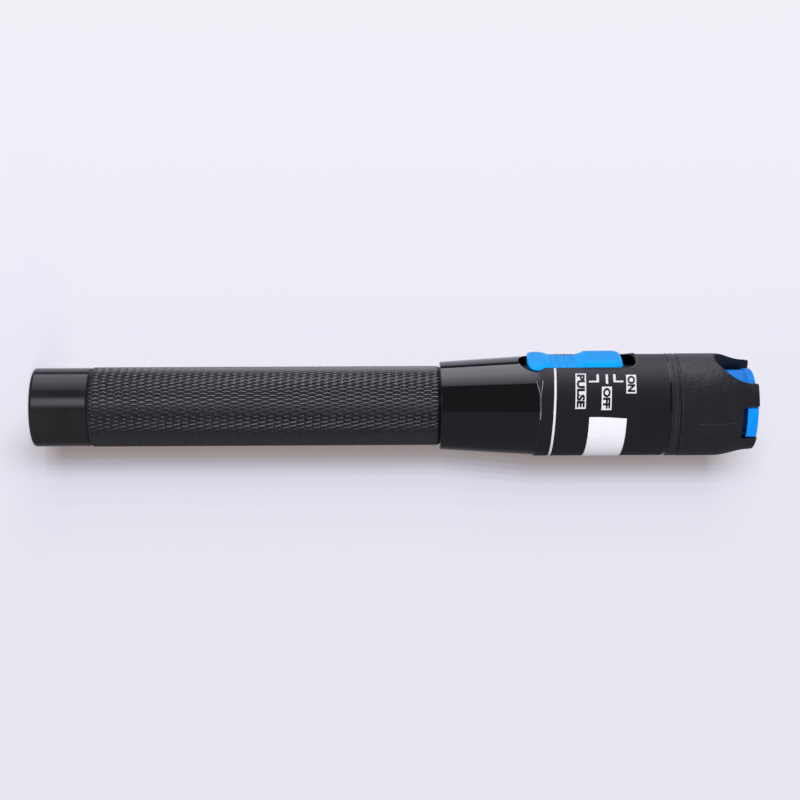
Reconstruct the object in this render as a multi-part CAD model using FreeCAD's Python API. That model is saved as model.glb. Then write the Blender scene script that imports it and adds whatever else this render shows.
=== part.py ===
"""Visual fault locator pen: a red laser source for 2.5 mm fibre ferrules, run from two AA cells.

Millimetres. The pen stands on its flat tail cap with the origin at the centre of that face.
+Z runs along the pen to the laser end, and the switch faces -Y.
Each function returns one piece in its place, and the last lines write one STEP file per piece.
"""
import FreeCAD, Part
import math
import os

V = FreeCAD.Vector
AXIS_Z = V(0, 0, 1)
AXIS_X = V(1, 0, 0)

# ---- driving sizes ----------------------------------------------------------------------

# AA cells
cell_radius = 7.1
cell_can_length = 49.5
cell_pole_radius = 2.75
cell_pole_length = 1.0
cell_edge_radius = 0.5
cell_clearance = 0.3

# Tail cap and its spring
cap_length = 14.4
cap_step = 0.1
cap_floor = 2.5
cap_edge_radius = 0.8
cap_seam = 0.1
cap_thread_length = 7.0
spring_length = 4.8
spring_wire_radius = 0.35
spring_large_radius = 5.6
spring_small_radius = 3.2
spring_turns = 4.5
spring_flat_turns = 0.5
spring_clearance = 0.15

# Battery tube: plain cylinder over the tips of the knurl
grip_wall = 2.65
rear_spigot_wall = 1.4
front_spigot_wall = 1.5
front_spigot_length = 10.0
thread_clearance = 0.15
edge_break = 0.3

# Front contacts
contact_standoff = 4.2
contact_head_radius = 2.4
contact_head_length = 1.1
contact_shank_radius = 0.9
ground_ring_thickness = 0.3
ground_ring_width = 1.2
ground_tab_width = 2.4
ground_tab_clearance = 0.3
ground_lug_length = 1.2
holder_thickness = 2.0
holder_boss_radius = 5.5

# Barrel: cone and cylinder in one turned piece
barrel_rear_step = 1.1
cone_rise = 1.6
barrel_wall = 2.35
barrel_length = 57.4
barrel_straight_length = 32.4

# Switch slot in the barrel and the knob that slides in it
slot_setback = 6.9
slot_half_width = 5.2
slot_front_room = 2.6
knob_travel = 2.0
knob_clearance = 0.3
knob_length = 23.9
knob_half_width = 3.8
knob_waist_drop = 0.12
knob_block_rise = 1.15
knob_block_length = 10.3
knob_block_chamfer = 0.85
knob_nose_length = 2.0
knob_nose_drop = 1.5
knob_nose_corner = 1.5
knob_ramp_length = 2.6
knob_bead_rise = 0.8
knob_bead_length = 3.8
knob_bead_half_width = 4.95
knob_bead_rounding = 0.2
knob_base_drop = 1.45
knob_rib_pitch = 1.6
knob_rib_radius = 0.25
knob_rib_count = 4
stem_offset = 6.5
stem_half_length = 2.0
stem_half_width = 1.9

# Film and paper on the barrel
film_thickness = 0.15
film_length = 32.3
film_front_margin = 0.7
film_skew = 2.5
film_skew_bearing = 64.0
film_window_half_width = 4.0
film_window_end_gap = 1.4
film_window_corner = 2.6
sticker_thickness = 0.1
sticker_length = 9.3
sticker_width_angle = 98.0
sticker_bearing = 126.9
sticker_setback = 16.45

# Chassis in the barrel, circuit board in its grooves
chassis_clearance = 0.15
chassis_wall = 1.4
chassis_end_gap = 0.1
bulkhead_setback = 6.3
bulkhead_thickness = 3.0
board_thickness = 1.0
board_edge_room = 0.85
board_rear_gap = 0.5
board_front_gap = 0.3
board_face_drop = 0.3
rail_half_height = 1.4
rail_depth = 1.6

# Slide switch on the board
switch_case_length = 11.6
switch_case_width = 5.4
switch_case_height = 4.6
lever_side = 1.6
lever_height = 4.2
lever_clearance = 0.2

# Board parts
chip_length = 4.9
chip_width = 3.9
chip_height = 1.4
chip_lead_count = 4
chip_lead_reach = 1.0
chip_lead_width = 0.4
chip_lead_height = 0.5
capacitor_radius = 2.5
capacitor_height = 5.0
trimmer_side = 4.4
trimmer_height = 2.2
trimmer_rotor_radius = 1.5
trimmer_rotor_height = 0.2
transistor_length = 2.9
transistor_width = 1.4
transistor_height = 1.1
resistor_length = 2.0
resistor_width = 1.25
resistor_height = 0.5
resistor_pitch = 3.2
resistor_count = 3
resistor_gap = 1.8

# Laser
laser_radius = 4.5
laser_length = 18.8
laser_front_reach = 1.9
laser_clearance = 0.05
diode_flange_radius = 2.8
diode_flange_thickness = 1.2
diode_can_radius = 1.8
diode_can_length = 2.3
diode_pin_radius = 0.22
diode_pin_length = 4.6
diode_pin_spread = 1.0
lens_radius = 2.2
lens_thickness = 2.0
lens_crown_radius = 3.2
lens_ring_length = 1.2
lens_ring_bore_radius = 1.3
lens_recess = 1.4
diode_chamber_length = 4.6

# Ferrule adapter and split sleeve
adapter_flange_clearance = 0.25
adapter_flange_thickness = 3.2
adapter_socket_depth = 1.5
adapter_web = 2.5
light_hole_radius = 1.45
snout_radius = 3.5
snout_lip = 0.5
snout_mouth_radius = 1.4
sleeve_length = 11.4
sleeve_outer_radius = 1.6
sleeve_bore_radius = 1.25
sleeve_slit = 0.4
sleeve_clearance = 0.03
stop_thickness = 0.6
stop_bore_radius = 0.9

# Head guard
guard_step = 0.1
guard_length = 22.1
guard_spigot_length = 4.4
guard_spigot_wall = 1.9
guard_spigot_clearance = 0.05
guard_bead_drop = 0.03
guard_bead_length = 1.9
guard_groove_width = 0.35
guard_groove_depth = 0.16
guard_notch_width = 0.7
guard_notch_depth = 0.4
guard_taper_start = 12.2
guard_taper_length = 8.6
guard_taper_drop = 1.35
guard_tip_drop = 0.15
guard_tip_edge = 0.45
guard_floor_thickness = 3.0
guard_tip_wall = 2.15
scoop_radius = 7.1
scoop_centre_drop = 3.3
tab_slot_clearance = 0.55
tab_slot_depth = 4.3
tab_slot_corner = 0.6

# Dust cap
dust_cap_recess = 0.2
dust_cap_clearance = 0.25
dust_cap_flange_thickness = 2.0
dust_cap_rim = 0.34
dust_cap_length = 9.8
dust_cap_wall = 1.3
dust_cap_boss_wall = 1.2
snout_fit = 0.2
tab_width = 7.8
tab_thickness = 2.7
tab_recess = 0.2
tab_edge_radius = 0.5

# ---- places along the pen, from the sizes above -----------------------------------------

tube_start = cap_length + cap_seam
spring_start = cap_floor + spring_clearance
cell_start = spring_start + spring_length + spring_clearance
cell_length = cell_can_length + cell_pole_length
cells_end = cell_start + 2 * cell_length
tube_bore_radius = cell_radius + cell_clearance
rear_spigot_radius = tube_bore_radius + rear_spigot_wall
front_spigot_radius = tube_bore_radius + front_spigot_wall
grip_radius = tube_bore_radius + grip_wall
cap_radius = grip_radius - cap_step
holder_start = cells_end + contact_standoff
holder_end = holder_start + holder_thickness
tube_end = holder_start - ground_ring_thickness
barrel_start = tube_end - front_spigot_length
barrel_end = barrel_start + barrel_length
rear_spigot_start = tube_start - cap_thread_length
ground_ring_bore = front_spigot_radius - ground_ring_width
barrel_rear_radius = grip_radius + barrel_rear_step
barrel_radius = barrel_rear_radius + cone_rise
barrel_bore_radius = barrel_radius - barrel_wall
cone_end = barrel_end - barrel_straight_length

slot_end = barrel_end - slot_setback
knob_end = slot_end - knob_travel - slot_front_room
knob_start = knob_end - knob_length
slot_z = knob_start - knob_travel - knob_clearance
knob_block_start = knob_end - knob_block_length
stem_z = knob_start + stem_offset
knob_waist_height = barrel_radius - knob_waist_drop
knob_block_height = barrel_radius + knob_block_rise
knob_bead_height = barrel_radius + knob_bead_rise
knob_base_height = barrel_radius - knob_base_drop
film_window_end = slot_end - film_window_end_gap
film_radius = barrel_radius + film_thickness
sticker_radius = film_radius + sticker_thickness

laser_end = barrel_end + laser_front_reach
laser_start = laser_end - laser_length
chassis_start = holder_end
chassis_end = barrel_end - guard_spigot_length - chassis_end_gap
chassis_radius = barrel_bore_radius - chassis_clearance
chassis_bore_radius = chassis_radius - chassis_wall
bulkhead_z = chassis_end - bulkhead_setback
board_start = chassis_start + board_rear_gap
board_end = laser_start - board_front_gap
board_half_width = chassis_bore_radius - board_edge_room
board_face = -board_face_drop
board_back = board_face + board_thickness
case_top = board_face - switch_case_height
lever_tip = case_top - lever_height

capacitor_start = board_start + ground_lug_length + 2 * ground_tab_clearance
parts_length = 2 * capacitor_radius + chip_length + trimmer_side + transistor_length
part_spacing = (board_end - capacitor_start - parts_length) / 4
chip_start = capacitor_start + 2 * capacitor_radius + part_spacing
trimmer_start = chip_start + chip_length + part_spacing
transistor_start = trimmer_start + trimmer_side + part_spacing

guard_end = barrel_end + guard_length
guard_spigot_radius = barrel_bore_radius - guard_spigot_clearance
guard_spigot_bore = guard_spigot_radius - guard_spigot_wall
guard_radius = film_radius + guard_step
guard_bead_radius = guard_radius - guard_bead_drop
guard_taper_radius = guard_radius - guard_taper_drop
guard_tip_radius = guard_taper_radius - guard_tip_drop
guard_recess_radius = guard_tip_radius - guard_tip_wall
adapter_flange_radius = guard_spigot_bore - adapter_flange_clearance
adapter_start = laser_end - adapter_socket_depth
adapter_seat = adapter_start + adapter_flange_thickness
sleeve_start = laser_end + adapter_web
sleeve_end = sleeve_start + sleeve_length
stop_start = sleeve_start - stop_thickness
snout_end = sleeve_end + snout_lip
guard_floor_end = adapter_seat + guard_floor_thickness
tab_slot_floor = guard_end - tab_slot_depth
tab_slot_width = tab_width + 2 * tab_slot_clearance
tab_reach = guard_tip_radius - tab_recess
scoop_z = guard_end - scoop_centre_drop

dust_cap_end = guard_end - dust_cap_recess
dust_cap_start = dust_cap_end - dust_cap_length
dust_cap_flange_radius = guard_recess_radius - dust_cap_clearance
dust_cap_skirt_radius = dust_cap_flange_radius - dust_cap_rim
snout_socket_radius = snout_radius + snout_fit


# ---- shared shapes ----------------------------------------------------------------------

def cylinder(radius, start, end):
    """Solid cylinder on the pen's axis between two heights."""
    return Part.makeCylinder(radius, end - start, V(0, 0, start))


def tube(outer, inner, start, end):
    """Ring on the pen's axis between two heights."""
    return cylinder(outer, start, end).cut(cylinder(inner, start, end))


def block(x_size, y_from, y_to, start, end):
    """Box centred on X, between two depths and two heights."""
    low, high = sorted((y_from, y_to))
    return Part.makeBox(x_size, high - low, end - start, V(-x_size / 2, low, start))


def turned(points):
    """Solid of revolution from (radius, height) points of one closed profile."""
    corners = [V(radius, 0, height) for radius, height in points]
    face = Part.Face(Part.makePolygon(corners + corners[:1]))
    return face.revolve(V(0, 0, 0), AXIS_Z, 360)


def stadium(half_width, start, end, y_from, y_to):
    """Prism along Y whose outline in X and Z is a slot with round ends."""
    centres = (start + half_width, end - half_width)
    prism = block(2 * half_width, y_from, y_to, *centres)
    low, high = sorted((y_from, y_to))
    for centre in centres:
        prism = prism.fuse(Part.makeCylinder(half_width, high - low, V(0, low, centre), V(0, 1, 0)))
    return prism.removeSplitter()


def rounded_window(half_width, corner, start, end, y_from, y_to):
    """Prism along Y whose outline in X and Z is a rectangle with rounded corners."""
    prism = block(2 * half_width, y_from, y_to, start, end)
    corners = [edge for edge in prism.Edges if abs(edge.tangentAt(edge.FirstParameter).y) > 0.99]
    return prism.makeFillet(corner, corners)


def rounded_rims(solid, rims):
    """Round circular edges, each given as (radius, height, rounding)."""
    for radius, height, rounding in rims:
        edges = [
            edge for edge in solid.Edges
            if isinstance(edge.Curve, Part.Circle)
            and abs(edge.Curve.Radius - radius) < 1e-4
            and abs(edge.Curve.Center.z - height) < 1e-4
        ]
        solid = solid.makeFillet(rounding, edges)
    return solid


def is_round(face, radius):
    """True for a cylindrical face of the given radius."""
    return isinstance(face.Surface, Part.Cylinder) and abs(face.Surface.Radius - radius) < 1e-4


def direction(bearing):
    """Unit vector square to the axis, at an angle from the switch side towards +X."""
    angle = math.radians(bearing)
    return V(math.sin(angle), -math.cos(angle), 0)


def skewed(shape, bearing, height):
    """Lean a shape by the film's skew, about the radial line at a bearing and height."""
    leaning = shape.copy()
    leaning.rotate(V(0, 0, height), direction(bearing), -film_skew)
    return leaning


# ---- tail cap and battery tube ----------------------------------------------------------

def tail_cap():
    """Turned screw cap, closed flat end with a rounded edge."""
    cup = turned([
        (0, 0),
        (cap_radius, 0),
        (cap_radius, cap_length),
        (rear_spigot_radius + thread_clearance, cap_length),
        (rear_spigot_radius + thread_clearance, rear_spigot_start - edge_break),
        (tube_bore_radius, rear_spigot_start - edge_break),
        (tube_bore_radius, cap_floor),
        (0, cap_floor),
    ])
    return rounded_rims(cup, [(cap_radius, 0, cap_edge_radius), (cap_radius, cap_length, edge_break)])


def spring_point(turn):
    """Middle of the spring's wire after a number of turns; the end coils lie flat."""
    rising = (turn - spring_flat_turns) / (spring_turns - 2 * spring_flat_turns)
    rise = min(max(rising, 0), 1) * (spring_length - 2 * spring_wire_radius)
    radius = spring_large_radius - (spring_large_radius - spring_small_radius) * turn / spring_turns
    angle = 2 * math.pi * turn
    return V(radius * math.cos(angle), radius * math.sin(angle), spring_start + spring_wire_radius + rise)


def tail_spring():
    """Conical wire spring that presses on the rear cell."""
    steps = round(spring_turns * 12)
    path = Part.BSplineCurve()
    path.interpolate([spring_point(step * spring_turns / steps) for step in range(steps + 1)])
    start, heading = path.value(path.FirstParameter), path.tangent(path.FirstParameter)[0]
    section = Part.Wire(Part.Circle(start, heading, spring_wire_radius).toShape())
    return Part.Wire(path.toShape()).makePipeShell([section], True, True)


def battery_tube():
    """Aluminium grip tube with a threaded spigot at each end."""
    tube_solid = turned([
        (tube_bore_radius, rear_spigot_start),
        (rear_spigot_radius, rear_spigot_start),
        (rear_spigot_radius, tube_start),
        (grip_radius, tube_start),
        (grip_radius, barrel_start),
        (front_spigot_radius, barrel_start),
        (front_spigot_radius, tube_end),
        (tube_bore_radius, tube_end),
    ])
    return rounded_rims(tube_solid, [(grip_radius, tube_start, edge_break)])


def cell(start):
    """One AA cell, pole towards the laser."""
    can_end = start + cell_can_length
    body = cylinder(cell_radius, start, can_end)
    body = rounded_rims(body, [(cell_radius, start, cell_edge_radius), (cell_radius, can_end, cell_edge_radius)])
    return body.fuse(cylinder(cell_pole_radius, can_end, can_end + cell_pole_length))


# ---- contacts ---------------------------------------------------------------------------

def contact_holder():
    """Moulded disc behind the electronics, with a boss for the rivet and a notch for the tab."""
    disc = cylinder(chassis_radius, holder_start, holder_end)
    disc = disc.fuse(cylinder(holder_boss_radius, cells_end + contact_head_length, holder_start))
    disc = disc.cut(cylinder(contact_shank_radius, cells_end, holder_end))
    notch = block(ground_tab_width + 2 * ground_tab_clearance, ground_ring_bore - ground_tab_clearance,
                  front_spigot_radius, holder_start, holder_end)
    return disc.cut(notch)


def front_contact():
    """Brass rivet: a head that the front pole touches and a shank that ends on the board."""
    head_end = cells_end + contact_head_length
    head = cylinder(contact_head_radius, cells_end, head_end)
    head = rounded_rims(head, [(contact_head_radius, cells_end, edge_break)])
    return head.fuse(cylinder(contact_shank_radius, head_end, board_start))


def ground_contact():
    """Stamped ring between tube and holder, with a tab bent forward and in to the board's back."""
    ring = tube(front_spigot_radius, ground_ring_bore, tube_end, holder_start)
    tab_top = ground_ring_bore + ground_ring_thickness
    foot_start = board_start + ground_tab_clearance
    foot_end = foot_start + ground_ring_thickness
    tab = block(ground_tab_width, ground_ring_bore, tab_top, tube_end, foot_end)
    foot = block(ground_tab_width, board_back, tab_top, foot_start, foot_end)
    lug = block(ground_tab_width, board_back, board_back + ground_ring_thickness,
                foot_start, foot_start + ground_lug_length)
    return ring.fuse([tab, foot, lug]).removeSplitter()


# ---- barrel, film and paper -------------------------------------------------------------

def barrel():
    """Turned barrel: cone, cylinder, stepped bore and the milled switch slot."""
    turning = turned([
        (front_spigot_radius + thread_clearance, barrel_start),
        (barrel_rear_radius, barrel_start),
        (barrel_radius, cone_end),
        (barrel_radius, barrel_end),
        (barrel_bore_radius, barrel_end),
        (barrel_bore_radius, holder_start),
        (front_spigot_radius + thread_clearance, holder_start),
    ])
    turning = rounded_rims(turning, [(barrel_rear_radius, barrel_start, edge_break)])
    slot = stadium(slot_half_width, slot_z, slot_end, -2 * barrel_radius, -barrel_bore_radius / 2)
    return turning.cut(slot)


def label_wrap():
    """Printed film round the front of the barrel, a little out of square, with a switch window."""
    front = barrel_end - film_front_margin
    rear = front - film_length
    sleeve = tube(film_radius, barrel_radius, barrel_start, barrel_end)
    slab = Part.makeBox(4 * film_radius, 4 * film_radius, front - rear,
                        V(-2 * film_radius, -2 * film_radius, rear))
    wrap = sleeve.common(skewed(slab, film_skew_bearing, (rear + front) / 2))
    window = rounded_window(film_window_half_width, film_window_corner,
                            barrel_start, film_window_end, -2 * barrel_radius, 0)
    return wrap.cut(window)


def rating_sticker():
    """Paper sticker bent round the film, out of square like the film."""
    middle = barrel_end - sticker_setback
    sleeve = tube(sticker_radius, film_radius, barrel_start, barrel_end)
    half_arc = math.radians(sticker_width_angle / 2)
    width = 2 * film_radius * math.sin(half_arc)
    depth = film_radius * (1 - math.cos(half_arc))
    patch = Part.makeBox(2 * depth, width, sticker_length,
                         V(film_radius - depth, -width / 2, middle - sticker_length / 2))
    patch.rotate(V(0, 0, middle), AXIS_Z, sticker_bearing - 90)
    return sleeve.common(skewed(patch, sticker_bearing, middle))


# ---- switch knob ------------------------------------------------------------------------

def easing(start, end):
    """Smooth ramp between two points of the knob's side outline, level at both ends."""
    third = (end.z - start.z) / 3
    ramp = Part.BezierCurve()
    ramp.setPoles([start, start + V(0, 0, third), end - V(0, 0, third), end])
    return ramp.toShape()


def knob_side():
    """Side outline of the knob: rear rise, ribbed waist, ramp, front block and sloping nose."""
    bead_middle = knob_start + knob_bead_length / 2
    bead_front = knob_start + knob_bead_length
    nose_start = knob_end - knob_nose_length
    rear_foot = V(0, -knob_base_height, bead_middle)
    rear_top = V(0, -knob_bead_height, bead_middle)
    bead_edge = V(0, -knob_bead_height, bead_front)
    waist_rear = V(0, -knob_waist_height, bead_front + knob_ramp_length)
    waist_front = V(0, -knob_waist_height, knob_block_start - knob_ramp_length / 2)
    block_rear = V(0, -knob_block_height, knob_block_start + knob_ramp_length / 2)
    nose_top = V(0, -knob_block_height, nose_start)
    nose_foot = V(0, -knob_block_height + knob_nose_drop, knob_end)
    front_foot = V(0, -knob_base_height, knob_end)
    edges = [
        Part.makeLine(rear_foot, rear_top),
        Part.makeLine(rear_top, bead_edge),
        easing(bead_edge, waist_rear),
        Part.makeLine(waist_rear, waist_front),
        easing(waist_front, block_rear),
        Part.makeLine(block_rear, nose_top),
        Part.Arc(nose_top, (nose_top + nose_foot) / 2 + V(0, -edge_break, edge_break), nose_foot).toShape(),
        Part.makeLine(nose_foot, front_foot),
        Part.makeLine(front_foot, rear_foot),
    ]
    return Part.Face(Part.Wire(edges))


def knob_body():
    """Side outline carried across the knob, with chamfers along the block's two long edges."""
    side = knob_side()
    side.translate(V(-knob_half_width, 0, 0))
    body = side.extrude(V(2 * knob_half_width, 0, 0))
    shoulder = knob_half_width - knob_block_chamfer
    outline = [
        V(-knob_half_width, 0, 0),
        V(-knob_half_width, -knob_block_height + knob_block_chamfer, 0),
        V(-shoulder, -knob_block_height, 0),
        V(shoulder, -knob_block_height, 0),
        V(knob_half_width, -knob_block_height + knob_block_chamfer, 0),
        V(knob_half_width, 0, 0),
    ]
    section = Part.Face(Part.makePolygon(outline + outline[:1]))
    section.translate(V(0, 0, knob_start))
    plan = rounded_window(knob_half_width, knob_nose_corner, knob_start - knob_nose_corner, knob_end,
                          -2 * barrel_radius, 0)
    return body.common(section.extrude(V(0, 0, knob_length))).common(plan)


def knob_ribs():
    """Half-round ribs across the waist, under the thumb."""
    last = knob_block_start - knob_ramp_length / 2
    ribs = []
    for index in range(knob_rib_count):
        place = V(-knob_half_width, -knob_waist_height, last - index * knob_rib_pitch)
        ribs.append(Part.makeCylinder(knob_rib_radius, 2 * knob_half_width, place, AXIS_X))
    return ribs


def knob_bead():
    """Rear lip, wider than the body, curved to clear the film that it slides over."""
    underside = film_radius + film_thickness
    half_length = knob_bead_length / 2
    straight = knob_bead_half_width - half_length
    outline = Part.makeBox(2 * straight, 2 * barrel_radius, knob_bead_length,
                           V(-straight, -2 * barrel_radius, knob_start))
    for side in (-1, 1):
        place = V(side * straight, -2 * barrel_radius, knob_start + half_length)
        outline = outline.fuse(Part.makeCylinder(half_length, 2 * barrel_radius, place, V(0, 1, 0)))
    lip = tube(knob_bead_height, underside, knob_start, knob_start + knob_bead_length)
    lip = lip.common(outline.removeSplitter())
    crown = [face for face in lip.Faces if is_round(face, knob_bead_height)]
    return lip.makeFillet(knob_bead_rounding, crown[0].Edges)


def switch_knob():
    """Blue slide knob: base in the slot, body, ribs and rear lip, and a stem over the lever."""
    base = stadium(knob_bead_half_width, knob_start, knob_end,
                   -knob_base_height, -chassis_radius - lever_clearance)
    stem = block(2 * stem_half_width, -knob_base_height, case_top - knob_clearance,
                 stem_z - stem_half_length, stem_z + stem_half_length)
    socket_side = lever_side + 2 * lever_clearance
    socket = block(socket_side, case_top, lever_tip - lever_clearance,
                   stem_z - socket_side / 2, stem_z + socket_side / 2)
    knob = knob_body().fuse([base, knob_bead(), stem] + knob_ribs())
    return knob.cut(socket).removeSplitter()


# ---- chassis, board and what is on it ---------------------------------------------------

def chassis():
    """Moulded inner tube: board grooves, laser bulkhead and the slot for the knob's stem."""
    frame = tube(chassis_radius, chassis_bore_radius, chassis_start, chassis_end)
    seat_radius = chassis_bore_radius + chassis_wall / 2
    middle = (board_face + board_back) / 2
    rails = cylinder(seat_radius, board_start, board_end)
    rails = rails.common(block(2 * chassis_radius, middle - rail_half_height, middle + rail_half_height,
                               board_start, board_end))
    rails = rails.cut(block(2 * (board_half_width - rail_depth), -chassis_bore_radius, chassis_bore_radius,
                            board_start, board_end))
    bulkhead = tube(seat_radius, laser_radius + laser_clearance,
                    bulkhead_z, bulkhead_z + bulkhead_thickness)
    frame = frame.fuse([rails, bulkhead])
    groove = block(2 * (board_half_width + laser_clearance), board_face - laser_clearance,
                   board_back + laser_clearance, chassis_start, board_end + laser_clearance)
    room = knob_travel + lever_clearance
    window = block(2 * (stem_half_width + lever_clearance), -barrel_radius, -chassis_radius / 2,
                   stem_z - stem_half_length - room, stem_z + stem_half_length + room)
    return frame.cut([groove, window]).removeSplitter()


def circuit_board():
    """Bare board that slides into the chassis grooves."""
    return block(2 * board_half_width, board_face, board_back, board_start, board_end)


def slide_switch_case():
    """Slide switch on the board, open on top where its lever travels."""
    half_length = switch_case_length / 2
    case = block(switch_case_width, board_face, case_top, stem_z - half_length, stem_z + half_length)
    reach = lever_side / 2 + knob_travel + lever_clearance
    room = block(lever_side + 2 * lever_clearance, case_top, case_top + switch_case_height / 2,
                 stem_z - reach, stem_z + reach)
    return case.cut(room)


def slide_switch_lever():
    """Square lever of the slide switch, its tip in the knob's socket."""
    foot = case_top + switch_case_height / 2 - lever_clearance
    return block(lever_side, foot, lever_tip, stem_z - lever_side / 2, stem_z + lever_side / 2)


def filter_capacitor():
    """Capacitor can standing on the far side of the board, nearest the cells."""
    place = V(0, board_back, capacitor_start + capacitor_radius)
    return Part.makeCylinder(capacitor_radius, capacitor_height, place, V(0, 1, 0))


def driver_chip():
    """Driver chip with a row of leads along each side."""
    body = block(chip_width, board_back, board_back + chip_height, chip_start, chip_start + chip_length)
    pitch = chip_length / chip_lead_count
    for index in range(chip_lead_count):
        lead_start = chip_start + (index + 0.5) * pitch - chip_lead_width / 2
        body = body.fuse(block(chip_width + 2 * chip_lead_reach, board_back, board_back + chip_lead_height,
                               lead_start, lead_start + chip_lead_width))
    return body.removeSplitter()


def trim_potentiometer():
    """Square trimmer that sets the laser current, with a round rotor on top."""
    top = board_back + trimmer_height
    body = block(trimmer_side, board_back, top, trimmer_start, trimmer_start + trimmer_side)
    place = V(0, top, trimmer_start + trimmer_side / 2)
    return body.fuse(Part.makeCylinder(trimmer_rotor_radius, trimmer_rotor_height, place, V(0, 1, 0)))


def driver_transistor():
    """Small transistor between the trimmer and the laser."""
    return block(transistor_width, board_back, board_back + transistor_height,
                 transistor_start, transistor_start + transistor_length)


def chip_resistors():
    """Chip resistors in a row beside the slide switch."""
    row = []
    for index in range(resistor_count):
        middle = stem_z + (index - (resistor_count - 1) / 2) * resistor_pitch
        resistor = block(resistor_width, board_face, board_face - resistor_height,
                         middle - resistor_length / 2, middle + resistor_length / 2)
        resistor.translate(V(switch_case_width / 2 + resistor_gap + resistor_width / 2, 0, 0))
        row.append(resistor)
    return Part.makeCompound(row)


# ---- laser ------------------------------------------------------------------------------

def laser_barrel():
    """Brass barrel: seat for the diode at the rear and for the lens at the front."""
    flange_seat = laser_start + diode_flange_thickness
    lens_seat = laser_end - lens_recess - lens_thickness
    return turned([
        (diode_flange_radius + laser_clearance, laser_start),
        (laser_radius, laser_start),
        (laser_radius, laser_end),
        (lens_radius + laser_clearance, laser_end),
        (lens_radius + laser_clearance, lens_seat),
        (lens_ring_bore_radius, lens_seat),
        (lens_ring_bore_radius, flange_seat + diode_chamber_length),
        (diode_can_radius + laser_clearance, flange_seat + diode_chamber_length),
        (diode_can_radius + laser_clearance, flange_seat),
        (diode_flange_radius + laser_clearance, flange_seat),
    ])


def laser_diode():
    """Diode can on its flange, with three pins that reach back over the board."""
    flange_end = laser_start + diode_flange_thickness
    diode = cylinder(diode_flange_radius, laser_start, flange_end)
    diode = diode.fuse(cylinder(diode_can_radius, flange_end, flange_end + diode_can_length))
    pin_y = board_face - diode_pin_radius
    for x, y in ((-diode_pin_spread, pin_y), (diode_pin_spread, pin_y), (0, pin_y - diode_pin_spread)):
        pin = Part.makeCylinder(diode_pin_radius, diode_pin_length, V(x, y, laser_start - diode_pin_length))
        diode = diode.fuse(pin)
    return diode


def collimator_lens():
    """Plano-convex glass lens on its seat in the laser barrel."""
    seat = laser_end - lens_recess - lens_thickness
    blank = cylinder(lens_radius, seat, seat + lens_thickness)
    ball = Part.makeSphere(lens_crown_radius, V(0, 0, seat + lens_thickness - lens_crown_radius))
    return blank.common(ball)


def lens_ring():
    """Screwed ring that holds the lens down."""
    front = laser_end - lens_recess + lens_ring_length
    return tube(lens_radius, lens_ring_bore_radius, front - lens_ring_length, front)


# ---- ferrule adapter --------------------------------------------------------------------

def adapter_body():
    """Turned adapter: flange, socket for the laser barrel and snout for the sleeve."""
    bore = sleeve_outer_radius + sleeve_clearance
    body = turned([
        (laser_radius + laser_clearance, adapter_start),
        (adapter_flange_radius, adapter_start),
        (adapter_flange_radius, adapter_seat),
        (snout_radius, adapter_seat),
        (snout_radius, snout_end),
        (snout_mouth_radius, snout_end),
        (snout_mouth_radius, sleeve_end),
        (bore, sleeve_end),
        (bore, stop_start),
        (light_hole_radius, stop_start),
        (light_hole_radius, laser_end),
        (laser_radius + laser_clearance, laser_end),
    ])
    return rounded_rims(body, [(snout_radius, snout_end, edge_break)])


def ferrule_stop():
    """Steel washer behind the sleeve, where the ferrule's face comes to rest."""
    return tube(sleeve_outer_radius, stop_bore_radius, stop_start, sleeve_start)


def ferrule_sleeve():
    """Split zirconia sleeve that grips the 2.5 mm ferrule."""
    sleeve = tube(sleeve_outer_radius, sleeve_bore_radius, sleeve_start, sleeve_end)
    slit = block(sleeve_slit, 0, 2 * sleeve_outer_radius, sleeve_start, sleeve_end)
    return sleeve.cut(slit)


# ---- head guard and dust cap ------------------------------------------------------------

def guard_outline():
    """Outer profile of the guard from the barrel joint to the tip, as a wire of lines and a curve."""
    bead_end = barrel_end + guard_bead_length
    groove = barrel_end + (guard_bead_length - guard_groove_width) / 2
    notch_end = bead_end + guard_notch_width
    taper_start = barrel_end + guard_taper_start
    taper_end = taper_start + guard_taper_length
    lower = [
        (guard_bead_radius, barrel_end),
        (guard_bead_radius, groove),
        (guard_bead_radius - guard_groove_depth, groove),
        (guard_bead_radius - guard_groove_depth, groove + guard_groove_width),
        (guard_bead_radius, groove + guard_groove_width),
        (guard_bead_radius, bead_end),
        (guard_radius - guard_notch_depth, bead_end),
        (guard_radius - guard_notch_depth, notch_end),
        (guard_radius, notch_end),
        (guard_radius, taper_start),
    ]
    third = guard_taper_length / 3
    swept = Part.BezierCurve()
    swept.setPoles([
        V(guard_radius, 0, taper_start),
        V(guard_radius, 0, taper_start + third),
        V(guard_taper_radius, 0, taper_end - third),
        V(guard_taper_radius, 0, taper_end),
    ])
    return lower, swept, taper_end


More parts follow.
